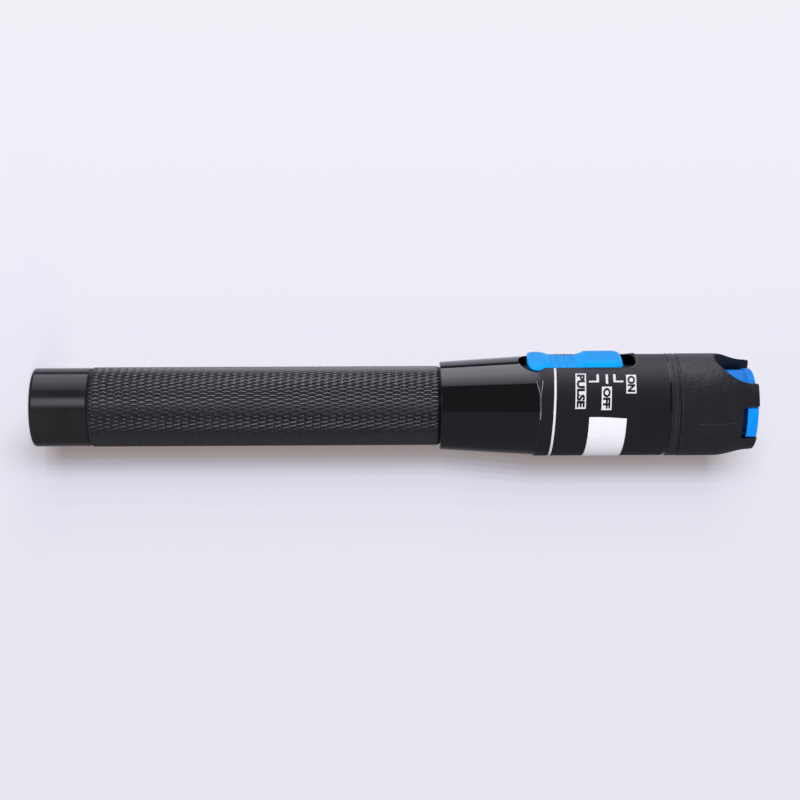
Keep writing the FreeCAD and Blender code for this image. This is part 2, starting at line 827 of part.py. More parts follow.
def guard_turning():
    """The guard before milling: rear spigot, cavity for the adapter, floor and open recess."""
    lower, swept, taper_end = guard_outline()
    spigot_start = barrel_end - guard_spigot_length
    rear = [
        (guard_spigot_bore, spigot_start),
        (guard_spigot_radius, spigot_start),
        (guard_spigot_radius, barrel_end),
    ]
    front = [
        (guard_taper_radius, taper_end),
        (guard_tip_radius, guard_end),
        (guard_recess_radius, guard_end),
        (guard_recess_radius, guard_floor_end),
        (snout_socket_radius, guard_floor_end),
        (snout_socket_radius, adapter_seat),
        (guard_spigot_bore, adapter_seat),
        (guard_spigot_bore, spigot_start),
    ]
    first_run = Part.makePolygon([V(r, 0, z) for r, z in rear + lower])
    last_run = Part.makePolygon([V(r, 0, z) for r, z in front])
    outline = Part.Wire(first_run.Edges + [swept.toShape()] + last_run.Edges)
    turning = Part.Face(outline).revolve(V(0, 0, 0), AXIS_Z, 360)
    return rounded_rims(turning, [(guard_tip_radius, guard_end, guard_tip_edge)])


def scoop_cutter():
    """Finger scoops on both sides along Y: round end and parallel walls up past the tip."""
    round_end = Part.makeCylinder(scoop_radius, 4 * guard_radius, V(0, -2 * guard_radius, scoop_z), V(0, 1, 0))
    walls = block(2 * scoop_radius, -2 * guard_radius, 2 * guard_radius, scoop_z, guard_end + scoop_radius)
    return round_end.fuse(walls)


def tab_slot_cutter():
    """Square-sided slots on both sides along X, with small corner rounds at the floor."""
    cutter = Part.makeBox(4 * guard_radius, tab_slot_width, 2 * tab_slot_depth,
                          V(-2 * guard_radius, -tab_slot_width / 2, tab_slot_floor))
    floor_edges = [
        edge for edge in cutter.Edges
        if abs(edge.CenterOfMass.z - tab_slot_floor) < 1e-4 and abs(edge.CenterOfMass.x) < 1e-4
    ]
    return cutter.makeFillet(tab_slot_corner, floor_edges)


def head_guard():
    """Castellated guard: two finger scoops and two tab slots milled into the turned form."""
    return guard_turning().cut(scoop_cutter().fuse(tab_slot_cutter())).removeSplitter()


def dust_cap():
    """Blue cap: flange, skirt, two tabs and a boss that grips the snout."""
    skirt_bore = dust_cap_skirt_radius - dust_cap_wall
    boss_radius = snout_socket_radius + dust_cap_boss_wall
    flange_start = dust_cap_end - dust_cap_flange_thickness
    cap = turned([
        (0, dust_cap_end),
        (dust_cap_flange_radius, dust_cap_end),
        (dust_cap_flange_radius, flange_start),
        (dust_cap_skirt_radius, flange_start),
        (dust_cap_skirt_radius, dust_cap_start),
        (skirt_bore, dust_cap_start),
        (skirt_bore, flange_start),
        (boss_radius, flange_start),
        (boss_radius, dust_cap_start),
        (snout_socket_radius, dust_cap_start),
        (snout_socket_radius, snout_end + dust_cap_clearance),
        (0, snout_end + dust_cap_clearance),
    ])
    cap = rounded_rims(cap, [(dust_cap_flange_radius, dust_cap_end, tab_edge_radius)])
    return cap.fuse(dust_cap_tabs()).removeSplitter()


def dust_cap_tabs():
    """Two finger tabs that lie in the guard's slots, rounded at the outer edge."""
    tab_start = dust_cap_end - tab_thickness
    disc = cylinder(tab_reach, tab_start, dust_cap_end)
    disc = rounded_rims(disc, [(tab_reach, dust_cap_end, tab_edge_radius)])
    strip = Part.makeBox(2 * tab_reach, tab_width, tab_thickness, V(-tab_reach, -tab_width / 2, tab_start))
    tabs = disc.common(strip)
    return tabs.cut(cylinder(dust_cap_skirt_radius - dust_cap_wall, tab_start, dust_cap_end))


# ---- the pen ----------------------------------------------------------------------------

PIECES = {
    "tail_cap": tail_cap,
    "tail_spring": tail_spring,
    "battery_tube": battery_tube,
    "rear_cell": lambda: cell(cell_start),
    "front_cell": lambda: cell(cell_start + cell_length),
    "contact_holder": contact_holder,
    "front_contact": front_contact,
    "ground_contact": ground_contact,
    "barrel": barrel,
    "label_wrap": label_wrap,
    "rating_sticker": rating_sticker,
    "switch_knob": switch_knob,
    "chassis": chassis,
    "circuit_board": circuit_board,
    "slide_switch_case": slide_switch_case,
    "slide_switch_lever": slide_switch_lever,
    "driver_chip": driver_chip,
    "filter_capacitor": filter_capacitor,
    "trim_potentiometer": trim_potentiometer,
    "driver_transistor": driver_transistor,
    "chip_resistors": chip_resistors,
    "laser_barrel": laser_barrel,
    "laser_diode": laser_diode,
    "collimator_lens": collimator_lens,
    "lens_ring": lens_ring,
    "adapter_body": adapter_body,
    "ferrule_stop": ferrule_stop,
    "ferrule_sleeve": ferrule_sleeve,
    "head_guard": head_guard,
    "dust_cap": dust_cap,
}

os.makedirs("parts", exist_ok=True)
for name, make in PIECES.items():
    shape = make()
    shape.exportStep("parts/" + name + ".step")
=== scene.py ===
import math
import bmesh
import bpy
import numpy as np
from mathutils import Matrix, Vector


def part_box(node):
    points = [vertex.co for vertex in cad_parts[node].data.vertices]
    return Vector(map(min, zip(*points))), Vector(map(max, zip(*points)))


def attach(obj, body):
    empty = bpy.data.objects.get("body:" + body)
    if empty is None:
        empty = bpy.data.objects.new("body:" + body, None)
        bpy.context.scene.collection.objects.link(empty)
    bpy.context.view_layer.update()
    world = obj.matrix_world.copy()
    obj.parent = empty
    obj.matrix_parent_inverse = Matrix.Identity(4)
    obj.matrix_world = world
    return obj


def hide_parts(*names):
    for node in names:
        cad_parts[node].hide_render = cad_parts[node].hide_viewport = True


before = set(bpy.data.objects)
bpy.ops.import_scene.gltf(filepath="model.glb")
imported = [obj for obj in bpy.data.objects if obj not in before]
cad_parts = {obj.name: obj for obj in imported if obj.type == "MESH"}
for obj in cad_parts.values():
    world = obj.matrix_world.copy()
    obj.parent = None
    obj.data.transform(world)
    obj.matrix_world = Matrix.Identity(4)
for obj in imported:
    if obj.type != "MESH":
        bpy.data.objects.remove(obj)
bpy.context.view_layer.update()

# ---- Battery tube -----------------------------------------------------------------------
# The aluminium tube that holds the two cells and serves as the grip. It is turned, rolled
# with long diamonds all over, threaded at both ends and dyed black in the anodising bath.
MM = 0.001
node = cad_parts


def put(tree, kind, wires=(), **settings):
    """Add one shader node. Wires name its inputs, or count them, with a value or an output."""
    made = tree.nodes.new("ShaderNode" + kind)
    for name, value in settings.items():
        setattr(made, name, value)
    pairs = wires.items() if isinstance(wires, dict) else enumerate(wires)
    for name, value in pairs:
        if isinstance(value, bpy.types.NodeSocket):
            tree.links.new(value, made.inputs[name])
        elif value is not None:
            made.inputs[name].default_value = value
    return made


def spread_between(tree, value, low, high, to_low, to_high):
    """Carry a value from one range to another, held at the ends."""
    ranges = {"Value": value, "From Min": low, "From Max": high, "To Min": to_low, "To Max": to_high}
    return put(tree, "MapRange", ranges).outputs["Result"]


def start_finish(name, roughness, metal=0.0, index=1.5):
    """A new material with its even values set on the shader itself."""
    material = bpy.data.materials.new(name)
    material.use_nodes = True
    shader = material.node_tree.nodes["Principled BSDF"]
    shader.inputs["Roughness"].default_value = roughness
    shader.inputs["Metallic"].default_value = metal
    shader.inputs["IOR"].default_value = index
    return material, material.node_tree, shader


def grain_over(tree, shader, height, strength, depth, eased=None):
    """Raise a fine relief on a finish, to a depth in mm, over the normal of its eased corners."""
    relief = {"Height": height, "Strength": strength, "Distance": depth * MM, "Normal": eased}
    tree.links.new(put(tree, "Bump", relief).outputs["Normal"], shader.inputs["Normal"])


def eased_normal(tree, radius, samples):
    """Normal of a piece whose corners are rounded to a radius in mm."""
    return put(tree, "Bevel", {"Radius": radius * MM}, samples=samples).outputs["Normal"]


def worked_finish(name, colour, roughness, metal=0.0, index=1.5, grain=(900, 900, 900),
                  uneven=0.15, depth=0.004, edge=0.0):
    """A finish whose tone, gloss and surface vary finely, with corners eased by edge mm."""
    material, tree, shader = start_finish(name, roughness, metal, index)
    place = put(tree, "TexCoord").outputs["Object"]
    stretched = put(tree, "Mapping", {"Vector": place, "Scale": grain}).outputs["Vector"]
    cloud = put(tree, "TexNoise", {"Vector": stretched, "Scale": 1.0, "Detail": 5.0}).outputs["Fac"]
    tone = spread_between(tree, cloud, 0.3, 0.7, 1 - uneven, 1 + uneven)
    tinted = put(tree, "VectorMath", {0: colour, "Scale": tone}, operation="SCALE").outputs["Vector"]
    tree.links.new(tinted, shader.inputs["Base Color"])
    gloss = spread_between(tree, cloud, 0.3, 0.7, roughness * 0.88, roughness * 1.12)
    tree.links.new(gloss, shader.inputs["Roughness"])
    grain_over(tree, shader, cloud, 1.0, depth, eased_normal(tree, edge, 6) if edge else None)
    return material


def edge_mask(tree, radius):
    """Where a rounded corner of that radius in mm would turn away from the flat face: 0 to 1."""
    normals = [eased_normal(tree, radius, 8), put(tree, "NewGeometry").outputs["True Normal"]]
    turn = put(tree, "VectorMath", normals, operation="DOT_PRODUCT").outputs["Value"]
    return spread_between(tree, turn, 0.75, 0.97, 1.0, 0.0)


def blend(tree, factor, plain, marked):
    """Colour that goes from the plain one to the marked one with the factor."""
    mixed = put(tree, "Mix", {"Factor": factor, 6: plain, 7: marked}, data_type="RGBA")
    return mixed.outputs[2]


def dress(piece, material):
    """Give every slot of a piece the same material."""
    if not piece.material_slots:
        piece.data.materials.append(material)
    for slot in piece.material_slots:
        slot.material = material


def stand(name, data):
    """A new object of that mesh, lamp, text or camera, linked into the scene."""
    made = bpy.data.objects.new(name, data)
    bpy.context.scene.collection.objects.link(made)
    return made


def mesh_piece(name, points, faces, smooth=None):
    """A new piece from points in millimetres; smooth is the angle up to which it shades round."""
    mesh = bpy.data.meshes.new(name)
    mesh.from_pydata([tuple(v * MM for v in point) for point in points], [], faces)
    mesh.update()
    shaped = bmesh.new()
    shaped.from_mesh(mesh)
    bmesh.ops.remove_doubles(shaped, verts=shaped.verts, dist=1e-7)
    bmesh.ops.recalc_face_normals(shaped, faces=shaped.faces)
    shaped.to_mesh(mesh)
    shaped.free()
    if smooth:
        mesh.polygons.foreach_set("use_smooth", [True] * len(mesh.polygons))
        mesh.set_sharp_from_angle(angle=math.radians(smooth))
    return stand(name, mesh)


tube_low, tube_high = (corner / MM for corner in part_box("battery_tube"))
cap_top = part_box("tail_cap")[1].z / MM
barrel_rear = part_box("barrel")[0].z / MM
GRIP_START, GRIP_END = cap_top + 0.1, barrel_rear
GRIP_RADIUS = 10.05
CREST_RADIUS = 9.9
TUBE_BORE = 7.4
REAR_SPIGOT, FRONT_SPIGOT = 8.8, 8.9
THREAD_DEPTH = 0.35
THREAD_PITCH = 1.0
KNURL_AROUND = 59
KNURL_LENGTH = 3.86
KNURL_DEPTH = 0.21
KNURL_SLOPE = 1.8
KNURL_CELLS = 6
KNURL_EDGE = 0.35


def knurl_height(around, along):
    """Height of the rolled pattern, 0 in the grooves and 1 on the flats, at half-diamond counts."""
    left = abs((around + along) % 2 - 1)
    right = abs((around - along) % 2 - 1)
    return min(1.0, KNURL_SLOPE * min(left, right))


def knurled_tube():
    """Rolled sleeve, the threaded rear spigot, the plain front spigot and the bore, as one closed skin."""
    half = KNURL_CELLS // 2
    sides = KNURL_AROUND * KNURL_CELLS
    step = KNURL_LENGTH / KNURL_CELLS
    rows = round((GRIP_END - GRIP_START) / step)
    rings = []
    rings.append([(TUBE_BORE, tube_low.z)] * sides)
    rings.append([(REAR_SPIGOT - THREAD_DEPTH, tube_low.z)] * sides)
    threads = int((GRIP_START - 1.2 - tube_low.z) / THREAD_PITCH)
    for turn in range(threads):
        start = tube_low.z + turn * THREAD_PITCH
        for share, radius in ((0.3, REAR_SPIGOT), (0.5, REAR_SPIGOT), (0.8, REAR_SPIGOT - THREAD_DEPTH)):
            rings.append([(radius, start + share * THREAD_PITCH)] * sides)
    rings.append([(REAR_SPIGOT - THREAD_DEPTH, GRIP_START)] * sides)
    rings.append([(GRIP_RADIUS - KNURL_EDGE, GRIP_START)] * sides)
    for row in range(rows + 1):
        height = GRIP_START + (GRIP_END - GRIP_START) * row / rows
        from_end = min(height - GRIP_START, GRIP_END - height)
        limit = GRIP_RADIUS - max(0.0, KNURL_EDGE - from_end)
        ring = []
        for side in range(sides):
            top = GRIP_RADIUS - KNURL_DEPTH * (1 - knurl_height(side / half, row / half))
            ring.append((min(top, limit), height))
        rings.append(ring)
    rings.append([(FRONT_SPIGOT, GRIP_END)] * sides)
    rings.append([(FRONT_SPIGOT, tube_high.z)] * sides)
    rings.append([(TUBE_BORE, tube_high.z)] * sides)
    points = []
    for ring in rings:
        for side, (radius, height) in enumerate(ring):
            angle = 2 * math.pi * side / sides
            points.append((radius * math.sin(angle), -radius * math.cos(angle), height))
    faces = []
    first_rolled = len(rings) - 3 - (rows + 1)
    for ring in range(len(rings)):
        above = (ring + 1) % len(rings)
        for side in range(sides):
            beside = (side + 1) % sides
            a, b = ring * sides + side, ring * sides + beside
            c, d = above * sides + beside, above * sides + side
            row = ring - first_rolled
            if not 0 <= row < rows:
                faces.append((a, b, c, d))
            elif (side + row + 1) % KNURL_CELLS == half:
                faces.extend([(a, b, d), (b, c, d)])
            else:
                faces.extend([(a, b, c), (a, c, d)])
    return mesh_piece("knurled_tube", points, faces)


tube_material, tree, shader = start_finish("black_anodised_knurl", 0.25, index=1.82)
place = put(tree, "TexCoord").outputs["Object"]
parts = put(tree, "SeparateXYZ", [place]).outputs
square = put(tree, "Math", [put(tree, "Math", [parts["X"], 2.0], operation="POWER").outputs[0],
                            put(tree, "Math", [parts["Y"], 2.0], operation="POWER").outputs[0]])
radius = put(tree, "Math", [square.outputs[0]], operation="SQRT").outputs[0]
cloud = put(tree, "TexNoise", {"Vector": place, "Scale": 420.0, "Detail": 6.0}).outputs["Fac"]
crest = spread_between(tree, radius, CREST_RADIUS * MM, GRIP_RADIUS * MM, 0.0, 1.0)
rub = put(tree, "Math", [crest, spread_between(tree, cloud, 0.42, 0.75, 0.15, 1.0)], operation="MULTIPLY")
dyed = blend(tree, rub.outputs[0], (0.006, 0.006, 0.0067, 1), (0.013, 0.013, 0.0143, 1))
tree.links.new(dyed, shader.inputs["Base Color"])
tree.links.new(spread_between(tree, cloud, 0.3, 0.7, 0.2, 0.3), shader.inputs["Roughness"])
grain_over(tree, shader, put(tree, "TexNoise", {"Vector": place, "Scale": 9000.0}).outputs["Fac"], 0.5, 0.004)
knurl = knurled_tube()
dress(knurl, tube_material)
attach(knurl, "pen")
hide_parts("battery_tube")

# ---- Cells ------------------------------------------------------------------------------
# Two AA cells, one behind the other with the poles towards the laser. Each is a steel can in
# a printed shrink sleeve, bare at the pole and at the flat end.
CELL_LENGTH = 50.5
SLEEVE_REAR, SLEEVE_FRONT = 0.012, 0.965


def colour_ramp(tree, value, stops, kind="LINEAR"):
    """Colour that follows a value through stops of (position, red, green, blue)."""
    made = put(tree, "ValToRGB", [value])
    ramp = made.color_ramp
    ramp.interpolation = kind
    for index, (position, *colour) in enumerate(stops):
        stop = ramp.elements[index] if index < 2 else ramp.elements.new(position)
        stop.position = position
        stop.color = (*colour, 1)
    return made.outputs["Color"]


def cell_finish(name, start):
    """Sleeve in two colours with a bright ring between them, and bare steel ends."""
    material, tree, shader = start_finish(name, 0.3)
    place = put(tree, "TexCoord").outputs["Object"]
    parts = put(tree, "SeparateXYZ", [place]).outputs
    along = spread_between(tree, parts["Z"], start * MM, (start + CELL_LENGTH) * MM, 0.0, 1.0)
    bands = [(0.0, 0.62, 0.61, 0.6), (SLEEVE_REAR, 0.02, 0.022, 0.026), (0.7, 0.5, 0.5, 0.52),
             (0.72, 0.36, 0.12, 0.02), (SLEEVE_FRONT, 0.62, 0.61, 0.6)]
    tree.links.new(colour_ramp(tree, along, bands, "CONSTANT"), shader.inputs["Base Color"])
    steel = put(tree, "Math", [put(tree, "Math", [along, SLEEVE_FRONT], operation="GREATER_THAN").outputs[0],
                               put(tree, "Math", [along, SLEEVE_REAR], operation="LESS_THAN").outputs[0]])
    tree.links.new(steel.outputs[0], shader.inputs["Metallic"])
    creases = put(tree, "TexNoise", {"Vector": place, "Scale": 260.0, "Detail": 3.0}).outputs["Fac"]
    tree.links.new(spread_between(tree, creases, 0.3, 0.7, 0.22, 0.4), shader.inputs["Roughness"])
    grain_over(tree, shader, creases, 0.4, 0.02)
    return material


for name in ("rear_cell", "front_cell"):
    dress(node[name], cell_finish(name + "_sleeve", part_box(name)[0].z / MM))

# ---- Tail spring ------------------------------------------------------------------------
# Conical spring of drawn steel wire, pressed into the tail cap, that pushes the cells forward
# and carries the current to the tube.
dress(node["tail_spring"], worked_finish("spring_wire", (0.6, 0.6, 0.61), 0.28, metal=1.0,
                                         grain=(2500, 2500, 600), uneven=0.1, depth=0.003))

# ---- Tail cap ---------------------------------------------------------------------------
# Turned aluminium cap, polished and anodised gloss black, that screws over the rear spigot.
# The tool has left faint turning lines round it.
cap_material, tree, shader = start_finish("polished_black_cap", 0.13, index=1.36)
place = put(tree, "TexCoord").outputs["Object"]
lines = put(tree, "Mapping", {"Vector": place, "Scale": (60, 60, 5200)}).outputs["Vector"]
turning = put(tree, "TexNoise", {"Vector": lines, "Scale": 1.0, "Detail": 3.0}).outputs["Fac"]
handled = put(tree, "TexNoise", {"Vector": place, "Scale": 160.0, "Detail": 5.0}).outputs["Fac"]
tint = blend(tree, spread_between(tree, handled, 0.35, 0.7, 0.0, 1.0), (0.0115, 0.0115, 0.0122, 1),
             (0.015, 0.0145, 0.0152, 1))
tree.links.new(tint, shader.inputs["Base Color"])
tree.links.new(spread_between(tree, handled, 0.3, 0.7, 0.1, 0.16), shader.inputs["Roughness"])
grain_over(tree, shader, turning, 0.35, 0.002)
dress(node["tail_cap"], cap_material)

# ---- Contacts ---------------------------------------------------------------------------
# A moulded disc at the front of the cells carries the brass rivet that the pole touches and
# the stamped steel ring that earths the board to the tube.
dress(node["contact_holder"], worked_finish("contact_disc_moulding", (0.013, 0.013, 0.014), 0.45,
                                            edge=0.15))
dress(node["front_contact"], worked_finish("rivet_brass", (0.78, 0.57, 0.25), 0.3, metal=1.0,
                                           grain=(1800, 1800, 300), uneven=0.08, depth=0.003, edge=0.1))
dress(node["ground_contact"], worked_finish("stamped_contact_steel", (0.6, 0.6, 0.61), 0.32, metal=1.0,
                                            grain=(400, 400, 3000), uneven=0.08, depth=0.003, edge=0.06))

# ---- Circuit board ----------------------------------------------------------------------
# Glass-epoxy board under green solder mask, with tinned pads where the leads are soldered. It
# slides into grooves of the chassis.
board_material, tree, shader = start_finish("green_board", 0.28)
place = put(tree, "TexCoord").outputs["Object"]
facing = put(tree, "Mapping", {"Vector": place, "Rotation": (math.pi / 2, 0, 0)}).outputs["Vector"]
tracks = put(tree, "TexBrick", {"Vector": facing, "Scale": 420.0, "Mortar Size": 0.09,
                                "Color1": (0.016, 0.13, 0.05, 1), "Color2": (0.02, 0.16, 0.06, 1),
                                "Mortar": (0.03, 0.26, 0.1, 1)})
tree.links.new(tracks.outputs["Color"], shader.inputs["Base Color"])
weave = put(tree, "TexNoise", {"Vector": place, "Scale": 1600.0, "Detail": 3.0}).outputs["Fac"]
tree.links.new(spread_between(tree, weave, 0.3, 0.7, 0.2, 0.36), shader.inputs["Roughness"])
grain_over(tree, shader, tracks.outputs["Fac"], 0.5, 0.03)
dress(node["circuit_board"], board_material)

# ---- Parts on the board -----------------------------------------------------------------
# The slide switch with its steel case stands on the face of the board, three chip resistors
# beside it. Driver chip, capacitor, trimmer and transistor are soldered to the back.
dress(node["slide_switch_case"], worked_finish("switch_case_steel", (0.6, 0.6, 0.62), 0.3, metal=1.0,
                                               grain=(300, 300, 2600), uneven=0.08, depth=0.003, edge=0.1))
dress(node["slide_switch_lever"], worked_finish("switch_lever_moulding", (0.02, 0.02, 0.021), 0.42,
                                                edge=0.12))
dress(node["chip_resistors"], worked_finish("resistor_glaze", (0.02, 0.02, 0.022), 0.3, edge=0.06))
dress(node["driver_chip"], worked_finish("chip_moulding", (0.016, 0.016, 0.017), 0.5, depth=0.01, edge=0.08))
dress(node["filter_capacitor"], worked_finish("capacitor_sleeve", (0.02, 0.03, 0.1), 0.3, edge=0.25))
dress(node["trim_potentiometer"], worked_finish("trimmer_moulding", (0.04, 0.13, 0.42), 0.4, edge=0.12))
dress(node["driver_transistor"], worked_finish("transistor_moulding", (0.018, 0.018, 0.019), 0.5, edge=0.08))

# ---- Chassis ----------------------------------------------------------------------------
# Black moulded tube that holds the board in its grooves and the laser in its bulkhead, and
# slides into the barrel from the front.
dress(node["chassis"], worked_finish("chassis_moulding", (0.013, 0.013, 0.0135), 0.48, depth=0.01, edge=0.15))

# ---- Laser ------------------------------------------------------------------------------
# Brass barrel with a gold-plated diode pressed in at the rear. A glass lens is held in front
# of it by a slotted brass ring.
dress(node["laser_barrel"], worked_finish("laser_brass", (0.74, 0.55, 0.26), 0.26, metal=1.0,
                                          grain=(120, 120, 6000), uneven=0.07, depth=0.003, edge=0.1))
dress(node["lens_ring"], worked_finish("ring_brass", (0.7, 0.52, 0.25), 0.3, metal=1.0,
                                       grain=(3000, 3000, 300), uneven=0.07, depth=0.003, edge=0.06))
dress(node["laser_diode"], worked_finish("diode_gold", (0.83, 0.64, 0.29), 0.2, metal=1.0,
                                         grain=(1500, 1500, 1500), uneven=0.05, depth=0.002, edge=0.05))
lens_material, tree, shader = start_finish("lens_glass", 0.03, index=1.52)
shader.inputs["Transmission Weight"].default_value = 1.0
place = put(tree, "TexCoord").outputs["Object"]
haze = put(tree, "TexNoise", {"Vector": place, "Scale": 700.0}).outputs["Fac"]
tree.links.new(blend(tree, haze, (0.9, 0.95, 0.97, 1), (0.95, 0.92, 0.97, 1)), shader.inputs["Base Color"])
dress(node["collimator_lens"], lens_material)

# ---- Ferrule adapter --------------------------------------------------------------------
# Nickel-plated brass turning screwed over the laser, with a split zirconia sleeve in its
# snout that grips the fibre's ferrule.
dress(node["adapter_body"], worked_finish("adapter_nickel", (0.62, 0.6, 0.56), 0.24, metal=1.0,
                                          grain=(100, 100, 5200), uneven=0.06, depth=0.003, edge=0.15))
dress(node["ferrule_stop"], worked_finish("stop_steel", (0.58, 0.58, 0.59), 0.3, metal=1.0,
                                          grain=(3000, 3000, 300), uneven=0.07, depth=0.003, edge=0.06))
dress(node["ferrule_sleeve"], worked_finish("sleeve_zirconia", (0.86, 0.85, 0.8), 0.14, index=2.1,
                                            uneven=0.03, depth=0.001, edge=0.06))

# ---- Barrel -----------------------------------------------------------------------------
# Turned aluminium cone and cylinder under a thick coat of gloss black, which shows every
# reflection sharply and holds a little dust.
def dust_specks(tree, place, spacing, share, size):
    """Mask of tiny round specks, at one in so many points of a loose grid."""
    grid = put(tree, "TexVoronoi", {"Vector": place, "Scale": 1.0 / (spacing * MM)})
    dot = spread_between(tree, grid.outputs["Distance"], size * 0.6, size, 1.0, 0.0)
    pick = put(tree, "SeparateColor", [grid.outputs["Color"]]).outputs["Red"]
    chosen = put(tree, "Math", [pick, share], operation="LESS_THAN").outputs[0]
    return put(tree, "Math", [dot, chosen], operation="MULTIPLY").outputs[0]


barrel_material, tree, shader = start_finish("gloss_black_coat", 0.045, index=1.58)
place = put(tree, "TexCoord").outputs["Object"]
dust = dust_specks(tree, place, 2.6, 0.08, 0.09)
film_of_dust = put(tree, "TexNoise", {"Vector": place, "Scale": 120.0, "Detail": 5.0}).outputs["Fac"]
coat = blend(tree, dust, (0.003, 0.003, 0.0034, 1), (0.04, 0.044, 0.044, 1))
tree.links.new(coat, shader.inputs["Base Color"])
tree.links.new(spread_between(tree, film_of_dust, 0.35, 0.75, 0.03, 0.075), shader.inputs["Roughness"])
orange_peel = put(tree, "TexNoise", {"Vector": place, "Scale": 300.0, "Detail": 1.0}).outputs["Fac"]
grain_over(tree, shader, orange_peel, 0.15, 0.004, eased_normal(tree, 0.12, 6))
dress(node["barrel"], barrel_material)

# ---- Film on the barrel -----------------------------------------------------------------
# Matt black printed film wrapped round the front of the barrel, with a window for the knob.
# It sits a little out of square, and its rear edge is creased where the cone begins.
FILM_RADIUS = 12.9
FILM_REAR = 126.9
FILM_SKEW = math.radians(2.5)
SKEW_BEARING = math.radians(64)
WINDOW_HALF_WIDTH = 4.0


def on_film(bearing, height, lift=0.0):
    """Point at an angle from the switch side towards +X, leaning with the film."""
    lean = FILM_RADIUS * math.sin(SKEW_BEARING - bearing) * math.tan(FILM_SKEW)
    radius = FILM_RADIUS + lift
    return (radius * math.sin(bearing), -radius * math.cos(bearing), height + lean)


film_material, tree, shader = start_finish("matt_black_film", 0.55, index=1.5)
place = put(tree, "TexCoord").outputs["Object"]
fine = put(tree, "TexNoise", {"Vector": place, "Scale": 2600.0, "Detail": 4.0}).outputs["Fac"]
broad = put(tree, "TexNoise", {"Vector": place, "Scale": 95.0, "Detail": 3.0}).outputs["Fac"]
dust = dust_specks(tree, place, 1.9, 0.06, 0.08)
ink = blend(tree, spread_between(tree, broad, 0.35, 0.7, 0.0, 1.0), (0.006, 0.0058, 0.007, 1),
            (0.0078, 0.0075, 0.009, 1))
tree.links.new(blend(tree, dust, ink, (0.045, 0.045, 0.05, 1)), shader.inputs["Base Color"])
tree.links.new(spread_between(tree, fine, 0.3, 0.7, 0.5, 0.6), shader.inputs["Roughness"])
grain_over(tree, shader, fine, 0.6, 0.006)
dress(node["label_wrap"], film_material)

# ---- Folds in the film ------------------------------------------------------------------
# Where the film could not follow the cone its rear edge has puckered into a low fold and two creases that
# meet, with a painted highlight on the creases. Round the front of the window it has lifted a little from the
# slide, with a painted sheen on that rim.
FOLD_SUNK = 0.22
FOLD_SECTION = ((-0.5, -FOLD_SUNK), (-0.5, 0.0), (-0.25, 0.7), (0.0, 1.0), (0.25, 0.7), (0.5, 0.0),
                (0.5, -FOLD_SUNK))


def loft_faces(sections, sides, start=0):
    """Faces of a closed skin over sections of equally many points, with both ends shut."""
    faces = []
    for step in range(sections - 1):
        here, ahead = start + step * sides, start + (step + 1) * sides
        for side in range(sides):
            beside = (side + 1) % sides
            faces.append((here + side, here + beside, ahead + beside, ahead + side))
    end = start + (sections - 1) * sides
    return faces + [tuple(range(start, start + sides)), tuple(range(end, end + sides))]


def film_fold(name, path, width, height):
    """Rounded ridge along a path of (bearing, height, share of the full rise) on the film."""
    along = [(FILM_RADIUS * math.radians(bearing), place) for bearing, place, _ in path]
    points = []
    for step, (bearing, place, share) in enumerate(path):
        before, after = along[max(step - 1, 0)], along[min(step + 1, len(path) - 1)]
        run, climb = after[0] - before[0], after[1] - before[1]
        length = math.hypot(run, climb)
        for across, rise in FOLD_SECTION:
            turned = math.radians(bearing) - across * width * climb / length / FILM_RADIUS
            lift = rise * height * share if rise > 0 else rise
            points.append(on_film(turned, place + across * width * run / length, lift))
    return mesh_piece(name, points, loft_faces(len(path), len(FOLD_SECTION)), smooth=60)


def film_skin(name, low, high, roughness):
    """Creased film whose tone goes from low to high in patches; pale tones are painted highlights on the
    folds.
    """
    material, tree, shader = start_finish(name, roughness)
    place = put(tree, "TexCoord").outputs["Object"]
    crumple = put(tree, "TexNoise", {"Vector": place, "Scale": 500.0, "Detail": 3.0}).outputs["Fac"]
    crease_tone = blend(tree, spread_between(tree, crumple, 0.35, 0.65, 0.0, 1.0), (low, low, low * 1.1, 1),
                 (high, high, high * 1.08, 1))
    tree.links.new(crease_tone, shader.inputs["Base Color"])
    tree.links.new(spread_between(tree, crumple, 0.3, 0.7, roughness * 0.8, roughness * 1.2),
                   shader.inputs["Roughness"])
    grain_over(tree, shader, crumple, 0.4, 0.01)
    return material


LIFTED_HALF_WIDTH, LIFTED_REACH = 4.2, 2.6
LIFTED_START = 149.2
pucker = np.random.default_rng(7)
rear_fold, window_fold = [], []
for bearing in np.arange(16.0, 344.0, 2.0):
    wander = 0.6 * math.exp(-((bearing - 32) / 9) ** 2) + 0.012 * pucker.standard_normal()
    rear_fold.append((bearing, FILM_REAR + 0.1 - wander, 1.0 + 0.05 * pucker.random()))
for turn in np.arange(0.0, 181.0, 9.0):
    corner = math.radians(turn)
    across = LIFTED_HALF_WIDTH * math.copysign(abs(math.cos(corner)) ** 0.7, math.cos(corner))
    height = LIFTED_START + LIFTED_REACH * abs(math.sin(corner)) ** 0.7
    lifted = 1.0 + 2.5 * math.exp(-((turn - 140) / 30) ** 2) + 0.6 * pucker.random()
    window_fold.append((math.degrees(across / FILM_RADIUS), height, lifted))
lower_crease = [(37, 126.05, 0.7), (40, 126.25, 1.0), (45, 126.55, 1.0), (50, 126.85, 1.0), (56, 127.08, 1.0),
                (62, 127.18, 0.9), (68, 127.24, 0.8), (74, 127.26, 0.6), (80, 127.26, 0.2)]
upper_crease = [(35, 127.66, 0.7), (38, 127.56, 1.0), (43, 127.43, 1.0), (48, 127.32, 1.0), (54, 127.2, 0.8),
                (58, 127.14, 0.5)]
edge_skin = film_skin("creased_film", 0.008, 0.02, 0.34)
# The pale creases are painted highlights: light colour where the folds would catch the light.
crease_highlight_skin = film_skin("painted_crease_highlight", 0.1, 0.36, 0.4)
# The lifted rim is a real fold, painted a little lighter than the film as a sheen on it.
lifted_rim_sheen_skin = film_skin("lifted_film_painted_sheen", 0.016, 0.05, 0.36)
